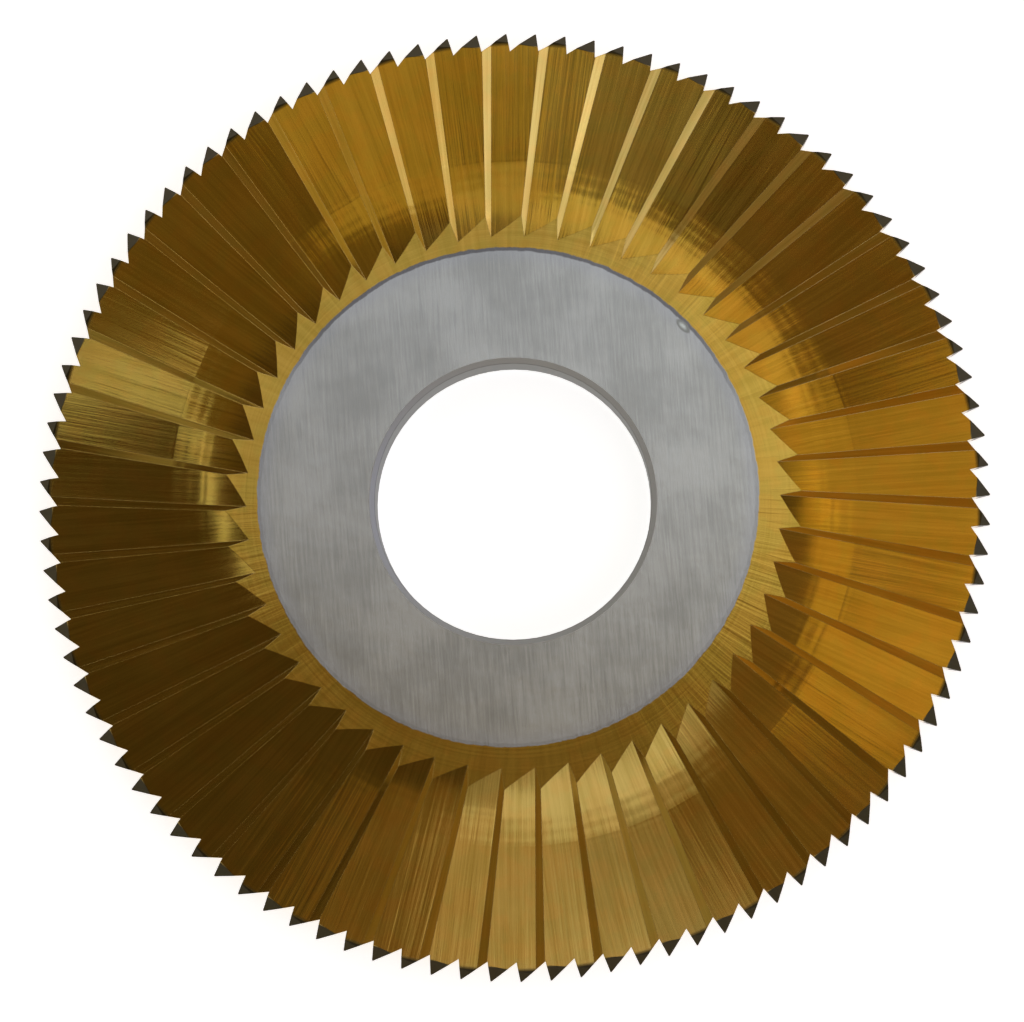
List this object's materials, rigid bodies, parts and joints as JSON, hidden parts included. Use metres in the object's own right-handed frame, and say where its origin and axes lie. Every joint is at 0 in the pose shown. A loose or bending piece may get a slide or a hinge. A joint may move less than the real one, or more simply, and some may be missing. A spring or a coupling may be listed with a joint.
{
  "type": "key machine cutter",
  "caption": "Round side-and-face key machine cutter with a plain bore, a flat hub, alternate side gullets on both faces and fine saw teeth round a V rim.",
  "frame": {"origin": "centre of the bore on the back hub face, which the cutter lies on", "axes": "+Z along the bore axis, from the back hub face to the front hub face; the cutter turns clockwise seen from the front; a rim tip lies 0.9 degrees counter-clockwise of +X"},
  "size_m": [0.076, 0.076, 0.005],
  "materials": {
    "coated_steel": "ground steel with a gold nitride coating on teeth and flanks; the hub's middle is bare grey ground steel"
  },
  "bodies": {
    "root": {"cutter": "coated_steel"}
  },
  "joints": []
}
